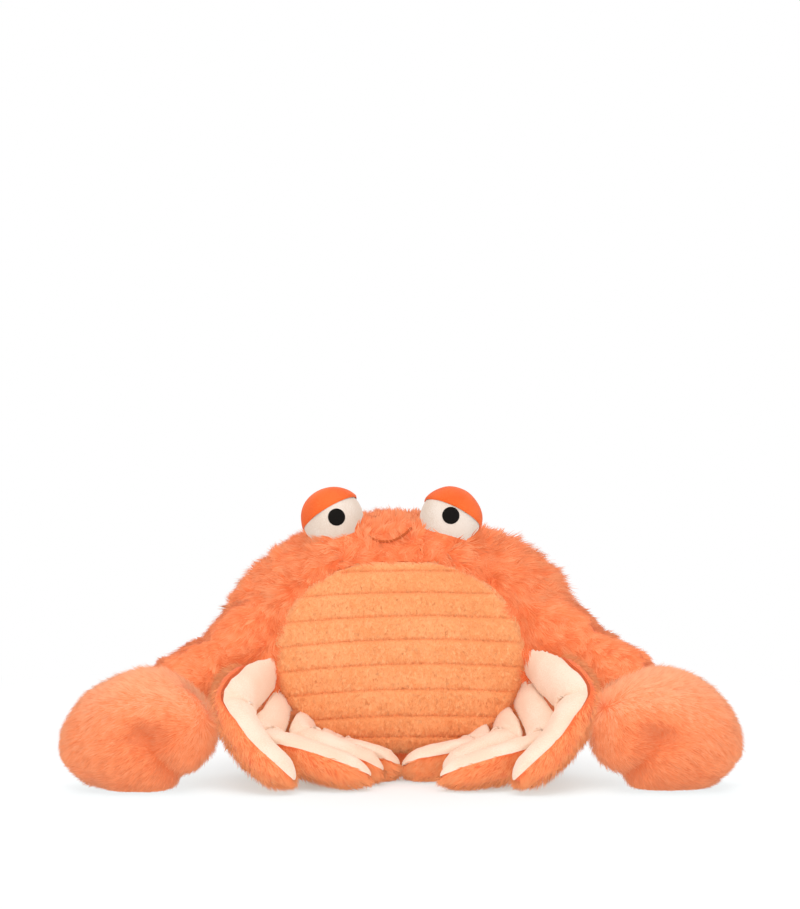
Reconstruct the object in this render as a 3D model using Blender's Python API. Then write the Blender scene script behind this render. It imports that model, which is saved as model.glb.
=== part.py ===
"""A plush crab that sits up, in metres, +Z up, with its ribbed belly towards -Y.

The body is an oval cushion: a fur cover that wraps the face band, the sides and the
back, closed in front by a belly panel sewn in ribs. Two stuffed arms end in big
claws, eight folded legs lie on the floor in front of the belly, and two lidded
eyes stand on the head. Left is -X, as a person facing the crab sees it."""

import math

import bmesh
import bpy
import numpy as np

# Body cushion
body_width = 0.208
body_above = 0.079
body_below = 0.072
belly_bulge = 0.050
back_bulge = 0.064
front_fullness = 1.35
seat_sink = 0.006
fur_cloth = 0.004

# Belly panel
belly_width = 0.140
belly_height = 0.109
belly_roundness = 2.2
belly_recess = 0.0018
belly_cloth = 0.0022
belly_trim = 0.015
rib_rise = 0.0015
rib_arch = 0.0045
dart_length = 0.030
dart_depth = 0.0009
# Seams between the ribs, as shares of the panel's height from its top
rib_seams = (0.050, 0.158, 0.277, 0.396, 0.522, 0.653, 0.793, 0.906)

# Arms, from the joint to the next
upper_arm_thickness = 0.038
forearm_thickness = 0.032
elbow_thickness = 0.027
wrist_thickness = 0.026
arm_cloth = 0.004
shoulder_spread = 0.126
shoulder_height = 0.091
shoulder_forward = 0.001

# Each arm: elbow, wrist and claw, each as its way out and forward from the joint
# before it, and the height of the elbow and of the wrist
left_arm = ((0.038, 0.040, 0.0675), (0.027, 0.029, 0.048), (0.0130, 0.012))
right_arm = ((0.041, 0.039, 0.0715), (0.026, 0.029, 0.0515), (0.0137, 0.010))

# Along an upper arm and a forearm: share of the way, and the share there between the
# elbow's thickness and the limb's own
upper_arm_rows = ((0.00, 0.50), (0.35, 1.00), (0.62, 1.00), (0.86, 0.50), (1.00, 0.00))
forearm_rows = ((0.00, 0.00), (0.25, 0.67), (0.60, 1.00))

# Claws
claw_width = 0.086
claw_height = 0.070
claw_depth = 0.060
claw_cloth = 0.004
claw_flat = 0.0035
claw_slope = 0.15
slope_angle = 145
claw_heel = 0.04
heel_angle = -150
claw_dimple = 0.008
dimple_rim = 0.0016
slit_depth = 0.004
slit_notch = 0.006
slit_angle = -48
claw_lean = 14
claw_turn = 9

# Legs
leg_width = 0.0235
leg_cream_depth = 0.0088
leg_fur_depth = 0.0118
leg_fur_cloth = 0.0016
leg_cream_cloth = 0.0014
leg_seam_offset = 0.003
leg_root_depth = 0.014
knee_pinch = 0.84
knee_round = 0.010
knee_turn = 0.030

# Eyes and mouth
eye_size = 0.0340
eye_spacing = 0.0655
eye_shift = -0.0047
eye_forward = 0.013
eye_drop = 0.0037
lid_cloth = 0.0010
pupil_size = 0.0095
pupil_rise = 0.0006
mouth_width = 0.023
mouth_drop = 0.0045
mouth_below = 0.0105
mouth_shift = -0.006
mouth_tilt = 0.002
mouth_sink = 0.0008
thread_size = 0.0015

# Where each eye looks, the middle of its lid, and the lid's reach from there in degrees
left_eye = ((0.135, -0.985, 0.115), (-0.516, 0.25, 0.819), 78.7)
right_eye = ((0.010, -0.985, 0.170), (0.429, 0.31, 0.849), 80.5)

# Gap between sewn pieces, and the looser one round the fillings
gap = 0.0003
filling_gap = 0.0005
press_gap = 0.0007
belly_gap = 0.0009
seam_play = 0.00005

body_columns = 32
body_rows = 8
row_easing = 0.9
front_rows = 3
belly_columns = (-1, -0.82, -0.58, -0.3, -0.06, 0, 0.06, 0.3, 0.58, 0.82, 1)
rows_per_rib = 3
rib_narrow = 0.15
rib_fade = 0.25
arm_columns = 12
claw_columns = 18
claw_rows = 8
leg_columns = 10
eye_columns = 14
lid_rows = 4
pupil_columns = 10

# Each leg: angle of its root round the belly seam, then the knee's way out, forward
# and height, the shin's height, and the tip's way in and forward from the knee. All
# lengths in metres.
left_legs = (
    (184, 0.0175, 0.036, 0.043, 0.0235, 0.034, 0.032),
    (202, 0.009, 0.035, 0.024, 0.0180, 0.060, 0.020),
    (216, -0.001, 0.019, 0.022, 0.0170, 0.045, 0.017),
    (229, -0.006, 0.014, 0.016, 0.0130, 0.036, 0.006),
)
right_legs = (
    (1, 0.0235, 0.036, 0.046, 0.0250, 0.036, 0.033),
    (-16, 0.012, 0.035, 0.023, 0.0160, 0.060, 0.021),
    (-31, 0.001, 0.019, 0.022, 0.0170, 0.037, 0.015),
    (-44, -0.004, 0.014, 0.016, 0.0130, 0.042, 0.006),
)
tip_height = 0.0080
shin_spread = 0.004

# Direction of the cream face as its way inward, to the back and up: above the knee,
# below it, and below the first leg's knee
upper_face = (0.57, -0.82, -0.03)
lower_face = (0.10, 0.20, 0.97)
first_lower_face = (0.60, 0.05, 0.80)

# Rows of a leg above and below its knee: share of that stretch, and of its width and
# depth there
upper_leg_rows = ((0.00, 0.62, 0.60), (0.36, 0.92, 0.92), (0.70, 1.00, 1.00), (1.00, 0.98, knee_pinch))
lower_leg_rows = ((0.28, 0.98, 0.98), (0.58, 0.92, 0.94), (0.87, 0.72, 0.74), (1.00, 0.00, 0.00))

# A pressed limb keeps at least this share of its size. Limbs are followed in steps.
least_press = 0.25
way_step = 0.002
way_count = 30

half_width = body_width / 2
body_centre_z = body_below - seat_sink


def clear_scene():
    for obj in list(bpy.data.objects):
        bpy.data.objects.remove(obj, do_unlink=True)


def linear(value):
    return value / 12.92 if value <= 0.04045 else ((value + 0.055) / 1.055) ** 2.4


def material(name, colour, roughness):
    made = bpy.data.materials.new(name)
    made.use_nodes = True
    shader = made.node_tree.nodes["Principled BSDF"]
    rgb = [linear(int(colour[i : i + 2], 16) / 255) for i in (0, 2, 4)]
    shader.inputs["Base Color"].default_value = (*rgb, 1)
    shader.inputs["Roughness"].default_value = roughness
    shader.inputs["Metallic"].default_value = 0
    return made


def unit(vector):
    vector = np.asarray(vector, float)
    return vector / np.linalg.norm(vector)


def weld(points, faces):
    """Corners that fall together become one, and each face is cut into triangles."""
    kept, index = np.unique(np.round(points, 7), axis=0, return_index=True, return_inverse=True)[1:]
    index = index.reshape(-1)
    triangles = []
    for face in faces:
        corners = [int(index[i]) for i in face]
        corners = [corner for k, corner in enumerate(corners) if corner != corners[k - 1]]
        triangles += [(corners[0], corners[k], corners[k + 1]) for k in range(1, len(corners) - 1)]
    return points[kept], triangles


def add_object(name, points, faces, surface=None, hollow=()):
    """A closed object from faces; hollow lists those of a closed inner skin."""
    places, triangles = weld(points, list(faces) + list(hollow))
    turned = len(weld(points, hollow)[1])
    mesh = bpy.data.meshes.new(name)
    work = bmesh.new()
    verts = [work.verts.new(place) for place in places]
    made = [work.faces.new([verts[i] for i in triangle]) for triangle in triangles]
    bmesh.ops.recalc_face_normals(work, faces=made)
    bmesh.ops.reverse_faces(work, faces=made[len(made) - turned :])
    work.to_mesh(mesh)
    work.free()
    obj = bpy.data.objects.new(name, mesh)
    bpy.context.collection.objects.link(obj)
    if surface:
        mesh.materials.append(surface)
        mesh.shade_smooth()
        mesh.set_sharp_from_angle(angle=math.radians(60))
        obj.parent = crab
    else:
        obj.hide_render = True
        obj.display_type = "WIRE"
    return obj


def grid_faces(rows, columns, start=0, wrap=False, flip=False):
    faces = []
    for row in range(rows - 1):
        for column in range(columns if wrap else columns - 1):
            following = (column + 1) % columns
            face = [
                start + row * columns + column,
                start + row * columns + following,
                start + (row + 1) * columns + following,
                start + (row + 1) * columns + column,
            ]
            faces.append(face[:1] + face[:0:-1] if flip else face)
    return faces


def add_sheet(name, outer, inner, surface, wrap=False):
    """A cloth piece: its outside and inside grids, joined along every open edge."""
    rows, columns = outer.shape[:2]
    count = rows * columns
    points = np.concatenate([outer.reshape(-1, 3), inner.reshape(-1, 3)])
    outside = grid_faces(rows, columns, 0, wrap)
    inside = grid_faces(rows, columns, count, wrap, flip=True)
    edges = []
    for row in (0, rows - 1):
        if np.ptp(outer[row], axis=0).max() > 1e-7:
            line = [row * columns + column for column in range(columns)]
            edges += list(zip(line, line[1:] + line[:1])) if wrap else list(zip(line, line[1:]))
    if not wrap:
        for column in (0, columns - 1):
            line = [row * columns + column for row in range(rows)]
            edges += list(zip(line, line[1:]))
    rims = [[a, b, count + b, count + a] for a, b in edges]
    if rims:
        return add_object(name, points, outside + inside + rims, surface)
    return add_object(name, points, outside, surface, hollow=inside)


def add_solid(name, grid, surface=None):
    """A closed form from rings; an end ring of some size closes as a flat face."""
    rows, columns = grid.shape[:2]
    faces = grid_faces(rows, columns, 0, wrap=True)
    for row in (0, rows - 1):
        if np.ptp(grid[row], axis=0).max() > 1e-7:
            faces.append([row * columns + column for column in range(columns)])
    return add_object(name, grid.reshape(-1, 3), faces, surface)


def cut(obj, cutter):
    change = obj.modifiers.new("Seat", "BOOLEAN")
    change.operation = "DIFFERENCE"
    change.solver = "EXACT"
    change.object = cutter


def half_height(height, inset=0.0):
    """The body's reach above its widest row, or below it."""
    return (body_above if height > 0 else body_below) - inset


def front_share(share):
    """Share of the front's bulge left at a squared share of the way out to its rim."""
    return math.sqrt(max(0, 1 - share**front_fullness))


def body_front(x, z, inset):
    """Y of the body's front over a point of its outline plane."""
    height = z - body_centre_z
    share = (x / (half_width - inset)) ** 2 + (height / half_height(height, inset)) ** 2
    return -(belly_bulge - inset) * front_share(share)


def body_point(turn, slope, inset):
    """Point of the body's form at an angle from its front pole, and round it."""
    if slope < math.pi / 2:
        y = -(belly_bulge - inset) * front_share(math.sin(slope) ** 2)
    else:
        y = -(back_bulge - inset) * math.cos(slope)
    x = (half_width - inset) * math.sin(slope) * math.cos(turn)
    z = body_centre_z + half_height(math.sin(turn), inset) * math.sin(slope) * math.sin(turn)
    return (x, y, max(z, inset))


def belly_reach(angle):
    """Distance from the belly's centre to its seam, at an angle in its plane."""
    across = abs(math.cos(angle)) / (belly_width / 2)
    along = abs(math.sin(angle)) / (belly_height / 2)
    return (across**belly_roundness + along**belly_roundness) ** (-1 / belly_roundness)


def seam_slope(turn, inset):
    """Angle from the front pole at which the body's form meets the belly seam."""
    across = abs((half_width - inset) * math.cos(turn)) / (belly_width / 2)
    along = abs(half_height(math.sin(turn), inset) * math.sin(turn)) / (belly_height / 2)
    share = (across**belly_roundness + along**belly_roundness) ** (-1 / belly_roundness)
    return math.asin(min(1, share))


def turns(count, first=0.0):
    return [first + 2 * math.pi * k / count for k in range(count)]


def cover_grid(inset):
    rows = []
    for row in range(body_rows + 1):
        share = (row / body_rows) ** row_easing
        ring = []
        for turn in turns(body_columns):
            start = seam_slope(turn, inset)
            ring.append(body_point(turn, start + (math.pi - start) * share, inset))
        rows.append(ring)
    return np.array(rows)


def body_form(inset):
    """The whole cushion, with the cover's own columns and rows behind the seam."""
    front = []
    for row in range(front_rows):
        ring = []
        for turn in turns(body_columns):
            ring.append(body_point(turn, seam_slope(turn, inset) * row / front_rows, inset))
        front.append(ring)
    return np.concatenate([np.array(front), cover_grid(inset)])


def build_body():
    add_sheet("back_cover", cover_grid(0), cover_grid(fur_cloth), fur, wrap=True)
    add_solid("body_filling", body_form(fur_cloth + filling_gap), filling)


def build_belly():
    """The panel's rows arch down at both sides, are full between two seams and stop
    at the panel's own seam."""
    wide, tall = belly_width / 2 - belly_gap, belly_height / 2 - belly_gap
    belly_end = 1 - belly_trim
    edges = [belly_end] + [1 - 2 * share for share in rib_seams] + [-belly_end]
    rows = [(belly_end, 0)]
    for top, bottom in zip(edges, edges[1:]):
        steps = rows_per_rib if top - bottom > rib_narrow else 1
        for step in range(1, steps + 1):
            rows.append((top + (bottom - top) * step / steps, rib_rise if step < steps else 0))
    outer, inner = [], []
    for level, rise in rows[::-1]:
        front_line, back_line = [], []
        for column in belly_columns:
            height = level - rib_arch / tall * column**2 * (1 - level**2)
            reach = (1 - abs(height) ** belly_roundness) ** (1 / belly_roundness)
            x, z = column * reach * wide, body_centre_z + height * tall
            fade = min(1, (1 - abs(column)) / rib_fade)
            depth = belly_recess - rise * fade
            if column == 0 and height * tall < dart_length - tall:
                depth += dart_depth
            front_line.append((x, body_front(x, z, depth), z))
            back_line.append((x, body_front(x, z, belly_recess + belly_cloth), z))
        outer.append(front_line)
        inner.append(back_line)
    add_sheet("belly_panel", np.array(outer), np.array(inner), plush)


def way_point(points, distance):
    """Point at a distance along straight stretches."""
    for start, end in zip(points, points[1:]):
        length = np.linalg.norm(end - start)
        if distance <= length or end is points[-1]:
            return start + (end - start) * distance / length
        distance -= length


def soft_point(points, distance, length):
    """The same way with its corner rounded, its ends kept."""
    reach = max(0, min(knee_round, distance, length - distance))
    around = way_point(points, distance - reach) + way_point(points, distance + reach)
    return (around + 2 * way_point(points, distance)) / 4


def soft_direction(points, distance, length):
    low, high = max(0, distance - way_step), min(length, distance + way_step)
    return unit(soft_point(points, high, length) - soft_point(points, low, length))


def pressed(centre, out, others, inset):
    """Shortens a way out from a limb's middle line where a neighbour presses on it.
    A neighbour is a point of its own middle line with its reach, or 0 where the two
    give way alike and meet half way."""
    share = 1.0
    for point, reach in others:
        away = point - centre
        distance = np.linalg.norm(away)
        towards = np.dot(out, away) / distance
        if towards > 0:
            room = (distance - reach if reach else distance / 2) - press_gap - inset
            share = min(share, room / towards)
    return out * max(share, least_press)


def limb_ring(centre, along, face, reach, columns, inset=0.0, arc=(0, 360), shift=0.0, others=()):
    """Points round a section, from its width axis towards its face side. Its reach is
    to each side, to the face and to the back."""
    face = unit(face - along * np.dot(face, along))
    side = np.cross(along, face)
    wide, ahead, behind = (max(size - inset, 0) for size in reach)
    whole = arc[1] - arc[0] == 360
    steps = columns if whole else columns // 2
    ring = []
    for k in range(steps if whole else steps + 1):
        angle = math.radians(arc[0] + (arc[1] - arc[0]) * k / steps)
        deep = ahead if math.sin(angle) > 0 else behind
        out = side * wide * math.cos(angle) + face * (deep * math.sin(angle) + shift)
        point = centre + pressed(centre, out, others, inset)
        ring.append((point[0], point[1], max(point[2], inset)))
    return ring


def arm_points(side, places):
    """Shoulder inside the body, elbow, wrist and claw centre of one arm."""
    points = [np.array([side * shoulder_spread / 2, -shoulder_forward, shoulder_height])]
    heights = (places[0][2], places[1][2], claw_height / 2 - claw_flat)
    for place, height in zip(places, heights):
        before = points[-1]
        points.append(np.array([before[0] + side * place[0], before[1] - place[1], height]))
    return points


def tube_rings(start, end, cuts, sizes, inset, reach=0.0):
    """Rings of a stuffed tube; cuts are the slanted planes of its two ends."""
    along = unit(end - start)
    up = unit(np.cross(along, (0, 0, 1)))
    rings = []
    for share, size in sizes:
        centre = start + (end - start) * share
        ring = np.array(limb_ring(centre, along, up, (size / 2,) * 3, arm_columns, inset))
        if share in (0, 1):
            plane = cuts[0] if share == 0 else cuts[1]
            spot = centre + along * (gap / 2 if share == 0 else reach - gap / 2)
            lift = (spot - ring) @ plane / np.dot(along, plane)
            ring = ring + lift[:, None] * along
        rings.append(ring)
    return np.array(rings)


def build_arm(name, side, places):
    shoulder, elbow, wrist, claw = arm_points(side, places)
    upper_way, fore_way = unit(elbow - shoulder), unit(wrist - elbow)
    fold = unit(upper_way + fore_way)

    def sizes(rows, thickness, joint):
        return [(share, joint + (thickness - joint) * kept) for share, kept in rows]

    upper_sizes = sizes(upper_arm_rows, upper_arm_thickness, elbow_thickness)
    fore_sizes = sizes(forearm_rows, forearm_thickness, elbow_thickness) + [(1, wrist_thickness)]

    def upper(inset):
        return tube_rings(shoulder, elbow, (upper_way, fold), upper_sizes, inset)

    def fore(inset, reach=0.0):
        return tube_rings(elbow, wrist, (fold, fore_way), fore_sizes, inset, reach)

    cover = add_sheet(f"{name}_upper_arm_cover", upper(0), upper(arm_cloth), fur, wrap=True)
    stuffing = add_solid(f"{name}_upper_arm_filling", upper(arm_cloth + filling_gap), filling)
    cut(cover, body_cutter)
    cut(stuffing, body_cutter)
    add_sheet(f"{name}_forearm_cover", fore(0), fore(arm_cloth), fur, wrap=True)
    add_solid(f"{name}_forearm_filling", fore(arm_cloth + filling_gap), filling)

    seat = add_solid(f"{name}_wrist_cutter", fore(-gap, 2 * gap))
    outside, inside = claw_grid(claw, side, 0), claw_grid(claw, side, claw_cloth)
    stuffed = claw_grid(claw, side, claw_cloth + filling_gap)
    cut(add_sheet(f"{name}_claw_cover", outside, inside, fur, wrap=True), seat)
    cut(add_solid(f"{name}_claw_filling", stuffed, filling), seat)


def claw_grid(centre, side, inset):
    """A pincer cushion: two faces sewn round an outline with a notch between the
    big finger and the thumb, and a slit pulled in from the middle to the notch."""
    lean, turn = math.radians(claw_lean), math.radians(claw_turn)
    front = np.array([side * math.sin(turn), -math.cos(turn), 0]) * math.cos(lean)
    front[2] = math.sin(lean)
    inward = unit(np.cross((0, 0, side), front)) * -1
    upright = np.cross(inward, front) * side
    wide, tall, deep = claw_width / 2 - inset, claw_height / 2 - inset, claw_depth / 2 - inset
    rows = []
    for row in range(claw_rows + 1):
        slope = math.pi * row / claw_rows
        ring = []
        for column, angle in enumerate(turns(claw_columns, math.radians(slit_angle))):
            pulled = column == 0
            notch = slit_notch if pulled else 0
            sloped = claw_slope * max(0, math.cos(angle - math.radians(slope_angle))) ** 2
            heel = claw_heel * max(0, math.cos(angle - math.radians(heel_angle))) ** 2
            reach = math.sin(slope) * (1 - sloped + heel)
            point = centre + inward * (wide - notch) * reach * math.cos(angle)
            point = point + upright * (tall - notch) * reach * math.sin(angle)
            height = deep * math.cos(slope)
            if row == 0:
                height -= claw_dimple
            elif pulled and slope < math.pi / 2:
                height -= slit_depth
            elif row == 1:
                height -= dimple_rim
            point = point + front * height
            ring.append((point[0], point[1], max(point[2], inset)))
        rows.append(ring)
    return np.array(rows)


def leg_route(angle, out, forward, knee_height, shin_height, inward, onward, side):
    """Root inside the body, knee, middle of the shin bowed out and down, and tip."""
    angle = math.radians(angle)
    reach = belly_reach(angle) + leg_seam_offset
    x, z = reach * math.cos(angle), body_centre_z + reach * math.sin(angle)
    root = np.array([x, body_front(x, z, 0) + leg_root_depth, z])
    knee = np.array([x + side * out, root[1] - leg_root_depth - forward, knee_height])
    tip = np.array([knee[0] - side * inward, knee[1] - onward, tip_height])
    shin = (knee + tip) / 2
    shin[0] += side * shin_spread
    shin[2] = shin_height
    return root, knee, shin, tip


def leg_face(past_knee, side, number):
    """Direction of the cream face: to the viewer above the knee, upwards below it."""
    inward = np.array([-side, 1, 1])
    above = unit(inward * upper_face)
    below = unit(inward * (first_lower_face if number == 1 else lower_face))
    blend = min(1, max(0, past_knee / knee_turn + 0.5))
    return unit(above * (1 - blend) + below * blend)


def leg_grid(route, side, number, others, inset, arc=(0, 360), shift=0.0):
    lengths = [np.linalg.norm(end - start) for start, end in zip(route, route[1:])]
    upper, lower = lengths[0], sum(lengths[1:])
    stations = [(share * upper, wide, deep) for share, wide, deep in upper_leg_rows]
    stations += [(upper + share * lower, wide, deep) for share, wide, deep in lower_leg_rows]
    rows = []
    for distance, wide, deep in stations:
        along = soft_direction(route, distance, upper + lower)
        centre = soft_point(route, distance, upper + lower)
        if wide == 0:
            centre = centre - along * inset
        face = leg_face(distance - upper, side, number)
        reach = (wide * leg_width / 2, deep * leg_cream_depth, deep * leg_fur_depth)
        rows.append(limb_ring(centre, along, face, reach, leg_columns, inset, arc, shift, others))
    return np.array(rows)


def route_points(route, reach=0.0):
    """Points close together along a limb's middle line, each with its reach."""
    length = sum(np.linalg.norm(end - start) for start, end in zip(route, route[1:]))
    return [(way_point(route, length * k / way_count), reach) for k in range(way_count + 1)]


def build_leg(name, side, number, route, others):
    apart = gap / 2 + seam_play
    inside = leg_fur_cloth + filling_gap

    def grid(inset, arc=(0, 360), shift=0.0):
        return leg_grid(route, side, number, others, inset, arc, shift)

    face, back = ((0, 180), apart), ((180, 360), -apart)
    cream = add_sheet(f"{name}_cream_panel", grid(0, *face), grid(leg_cream_cloth, *face), suede)
    furred = add_sheet(f"{name}_fur_panel", grid(0, *back), grid(leg_fur_cloth, *back), fur)
    for obj in (cream, furred, add_solid(f"{name}_filling", grid(inside), filling)):
        cut(obj, body_cutter)


def build_legs():
    """Soft legs lie against each other, so each gives way to the ones beside it."""
    names = [f"left_leg_{k + 1}" for k in range(len(left_legs))]
    names += [f"right_leg_{k + 1}" for k in range(len(right_legs))][::-1]
    sides = [-1] * len(left_legs) + [1] * len(right_legs)
    measures = list(left_legs) + list(right_legs)[::-1]
    routes = [leg_route(*values, side) for values, side in zip(measures, sides)]
    for index, (name, side, route) in enumerate(zip(names, sides, routes)):
        others = []
        for beside in (index - 1, index + 1):
            if 0 <= beside < len(routes):
                others += route_points(routes[beside])
            else:
                arm = arm_points(side, left_arm if side < 0 else right_arm)
                others += route_points(arm[:2], upper_arm_thickness / 2)
                others += route_points(arm[1:3], forearm_thickness / 2)
        build_leg(name, side, int(name[-1]), route, others)


def dome_grid(centre, pole, radius, slopes, columns):
    """Rings of a ball round its pole, at the angles given."""
    pole = unit(pole)
    side = unit(np.cross(pole, (0.31, 0.17, 0.93)))
    other = np.cross(pole, side)
    grid = []
    for slope in slopes:
        ring = []
        for turn in turns(columns):
            out = side * math.cos(turn) + other * math.sin(turn)
            ring.append(centre + radius * (pole * math.cos(slope) + out * math.sin(slope)))
        grid.append(ring)
    return np.array(grid)


def build_eye(name, side, gaze, lid, lid_reach):
    """A felt ball; its lid keeps to the ball's own rings, so the two lie close."""
    ball = eye_size / 2
    height = body_centre_z + body_above - eye_drop
    centre = np.array([side * eye_spacing / 2 + eye_shift, -eye_forward, height])
    lid_slopes = [math.radians(lid_reach) * row / lid_rows for row in range(lid_rows + 1)]
    below = (math.pi - lid_slopes[-1]) / lid_rows
    slopes = lid_slopes + [lid_slopes[-1] + below * row for row in range(1, lid_rows + 1)]
    eyeball = add_solid(f"{name}_eyeball", dome_grid(centre, lid, ball, slopes, eye_columns), felt)
    lid_inner = dome_grid(centre, lid, ball + gap, lid_slopes, eye_columns)
    lid_outer = dome_grid(centre, lid, ball + gap + lid_cloth, lid_slopes, eye_columns)
    eyelid = add_sheet(f"{name}_eyelid", lid_outer, lid_inner, lid_felt, wrap=True)
    cut(eyeball, body_cutter)
    cut(eyelid, body_cutter)
    reach = math.asin(pupil_size / eye_size)
    inner, outer = (
        dome_grid(centre, gaze, ball + rise, (0, reach / 2, reach), pupil_columns)
        for rise in (gap, gap + pupil_rise)
    )
    add_sheet(f"{name}_pupil", outer, inner, embroidery, wrap=True)


def build_mouth():
    """A sewn smile: one thread laid over the face band."""
    lift = thread_size / 2 + gap - mouth_sink
    top = body_centre_z + body_above
    curve = bpy.data.curves.new("mouth_stitch", "CURVE")
    curve.dimensions = "3D"
    curve.bevel_depth = thread_size / 2
    curve.bevel_resolution = 1
    curve.use_fill_caps = True
    spline = curve.splines.new("POLY")
    steps = 9
    spline.points.add(steps)
    for k in range(steps + 1):
        share = 2 * k / steps - 1
        x = mouth_shift + share * mouth_width / 2
        z = top - mouth_below + mouth_drop * (share**2 - 1) + mouth_tilt * share
        spline.points[k].co = (x, body_front(x, z, -lift), z, 1)
    obj = bpy.data.objects.new("mouth_stitch", curve)
    curve.materials.append(mouth_thread)
    bpy.context.collection.objects.link(obj)
    obj.parent = crab


def centre_on_floor():
    """Puts the middle of the whole crab's box over the origin."""
    bpy.context.view_layer.update()
    graph = bpy.context.evaluated_depsgraph_get()
    corners = []
    for obj in bpy.data.objects:
        if obj.type in ("MESH", "CURVE") and not obj.hide_render:
            shape = obj.evaluated_get(graph)
            corners += [shape.matrix_world @ vertex.co for vertex in shape.to_mesh().vertices]
            shape.to_mesh_clear()
    corners = np.array(corners)
    middle = (corners.min(axis=0) + corners.max(axis=0)) / 2
    for obj in bpy.data.objects:
        if obj.parent is None:
            obj.location.x -= middle[0]
            obj.location.y -= middle[1]


clear_scene()
crab = bpy.data.objects.new("crab", None)
bpy.context.collection.objects.link(crab)
fur = material("orange fur", "fa8452", 0.95)
plush = material("ribbed short plush", "fba164", 0.92)
suede = material("cream suedette", "fbddc3", 0.9)
felt = material("off white eye felt", "f1e7dc", 0.85)
lid_felt = material("orange lid felt", "f4702c", 0.85)
embroidery = material("black eye embroidery", "15110f", 0.45)
mouth_thread = material("brown mouth thread", "9c4a26", 0.7)
filling = material("polyester filling", "f4f1ea", 1.0)

body_cutter = add_solid("body_cutter", body_form(-gap))
build_body()
build_belly()
build_arm("left", -1, left_arm)
build_arm("right", 1, right_arm)
build_legs()
build_eye("left", -1, *left_eye)
build_eye("right", 1, *right_eye)
build_mouth()
centre_on_floor()
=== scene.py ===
import math

import bpy
import numpy as np
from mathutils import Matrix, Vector
from mathutils.kdtree import KDTree


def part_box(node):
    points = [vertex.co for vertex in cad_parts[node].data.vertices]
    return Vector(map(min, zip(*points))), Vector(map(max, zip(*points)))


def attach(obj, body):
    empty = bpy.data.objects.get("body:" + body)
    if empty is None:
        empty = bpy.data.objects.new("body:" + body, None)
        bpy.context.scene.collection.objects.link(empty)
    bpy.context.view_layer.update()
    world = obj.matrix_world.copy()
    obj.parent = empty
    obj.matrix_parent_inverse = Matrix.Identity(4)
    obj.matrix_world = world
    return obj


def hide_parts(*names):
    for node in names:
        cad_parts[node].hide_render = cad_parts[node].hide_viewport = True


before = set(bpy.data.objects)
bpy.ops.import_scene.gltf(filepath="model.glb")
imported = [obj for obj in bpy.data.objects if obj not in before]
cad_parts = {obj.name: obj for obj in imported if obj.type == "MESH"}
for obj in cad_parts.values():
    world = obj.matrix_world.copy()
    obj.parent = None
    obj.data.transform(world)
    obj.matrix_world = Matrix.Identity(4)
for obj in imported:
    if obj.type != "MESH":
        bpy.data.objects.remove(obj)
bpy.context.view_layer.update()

# A plush crab that sits up: orange fur on the body and arms, a ribbed belly in short
# plush, eight folded legs in cream suedette backed with short fur, and felt eyes.
# Metres throughout; left is -X; the belly faces -Y.
mm = 0.001
rng = np.random.default_rng(7)


def unit(vectors):
    vectors = np.asarray(vectors, float)
    return vectors / np.maximum(np.linalg.norm(vectors, axis=-1, keepdims=True), 1e-12)


def smooth(value, low, high):
    share = np.clip((value - low) / (high - low), 0, 1)
    return share * share * (3 - 2 * share)


# Slow rises and hollows of a stuffed surface, as a sum of waves of about one size
def lumps(points, size, seed, waves=9):
    random = np.random.default_rng(seed)
    ways = unit(random.normal(size=(waves, 3))) * (2 * math.pi / size)
    ways = ways * random.uniform(0.7, 1.4, (waves, 1))
    phases = random.uniform(0, 2 * math.pi, waves)
    return np.sin(points @ ways.T + phases).sum(-1) / math.sqrt(waves)


# A colour ramp's stops are given as place and colour, the two ends first
def linear(hexColour):
    values = [int(hexColour[i : i + 2], 16) / 255 for i in (0, 2, 4)]
    return [v / 12.92 if v <= 0.04045 else ((v + 0.055) / 1.055) ** 2.4 for v in values] + [1]


def addNode(tree, kind, settings=None, links=None):
    node = tree.nodes.new(kind)
    for key, value in (settings or {}).items():
        if key == "stops":
            elements = node.color_ramp.elements
            for place, colour in value[2:]:
                elements.new(place)
            for element, (place, colour) in zip(elements, sorted(value)):
                element.position, element.color = place, linear(colour)
        elif isinstance(key, int) or key in node.inputs:
            node.inputs[key].default_value = value
        else:
            setattr(node, key, value)
    for key, output in (links or {}).items():
        tree.links.new(output, node.inputs[key])
    return node


def newMaterial(name, roughness, sheen=0.0, sheenTint="ffffff"):
    material = bpy.data.materials.new(name)
    material.use_nodes = True
    shader = material.node_tree.nodes["Principled BSDF"]
    shader.inputs["Roughness"].default_value = roughness
    shader.inputs["Specular IOR Level"].default_value = 0.2
    shader.inputs["Sheen Weight"].default_value = sheen
    shader.inputs["Sheen Tint"].default_value = linear(sheenTint)
    return material, material.node_tree, shader


# Polyester pile: the map's height runs from the root of a hair to its tip, deep at the root as
# painted shade and pale at the tip as painted light. Its width is the hair's tone, which differs at
# random from tuft to tuft and carries the painted shade and light that growPile gives, so partings look deep
# and tips pale
def pileMaterial(name, root, middle, tip, deep, pale, sheen):
    material, tree, shader = newMaterial(name, 0.9, sheen, pale)
    hair = addNode(tree, "ShaderNodeUVMap", {"uv_map": "OFBake"})
    parts = addNode(tree, "ShaderNodeSeparateXYZ", links={"Vector": hair.outputs["UV"]})
    rise = [(0.0, root), (1.0, tip), (0.45, middle)]
    spread = [(0.0, deep), (1.0, pale), (0.5, middle)]
    along = addNode(tree, "ShaderNodeValToRGB", {"stops": rise}, {"Fac": parts.outputs["Y"]})
    tones = addNode(tree, "ShaderNodeValToRGB", {"stops": spread}, {"Fac": parts.outputs["X"]})
    colours = {6: along.outputs["Color"], 7: tones.outputs["Color"]}
    both = addNode(tree, "ShaderNodeMix", {"data_type": "RGBA", "Factor": 0.5}, colours)
    tree.links.new(both.outputs[2], shader.inputs["Base Color"])
    return material


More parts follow.
